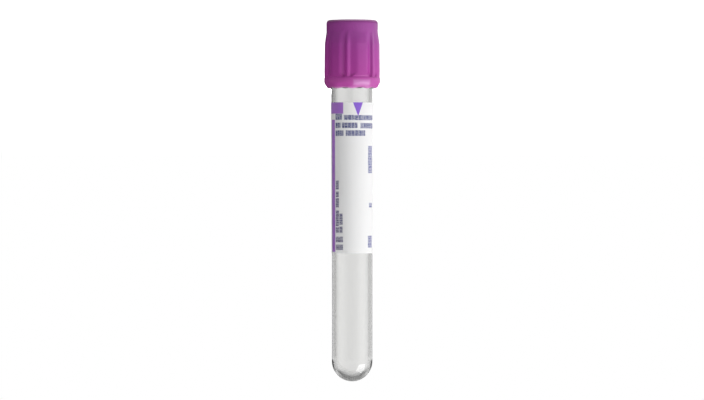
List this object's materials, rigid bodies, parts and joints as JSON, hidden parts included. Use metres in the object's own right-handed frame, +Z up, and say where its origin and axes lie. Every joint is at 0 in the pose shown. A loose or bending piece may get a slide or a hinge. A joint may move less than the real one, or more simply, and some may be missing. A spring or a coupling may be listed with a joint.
{
  "type": "blood collection tube",
  "caption": "Round-bottomed clear plastic sample tube with a wrapped label, closed by a rubber stopper held in a fluted purple over-cap with a needle port.",
  "frame": {"origin": "centre of the closure's flat top, which the tube stands on, mouth down", "axes": "+Z up the tube's axis from the closure to the round bottom; the middle of the label faces -Y"},
  "size_m": [0.017, 0.017, 0.109],
  "materials": {
    "clear_plastic": "gloss",
    "label_paper": "matte",
    "stopper_rubber": "matte",
    "purple_plastic": "satin"
  },
  "bodies": {
    "closure": {"shield": "purple_plastic", "stopper": "stopper_rubber"},
    "tube": {"tube": "clear_plastic", "label": "label_paper"}
  },
  "joints": [
    {"name": "tube_pull", "type": "slide", "parent": "closure", "child": "tube", "axis": [0, 0, 1], "range_m": [0, 0.03]}
  ]
}
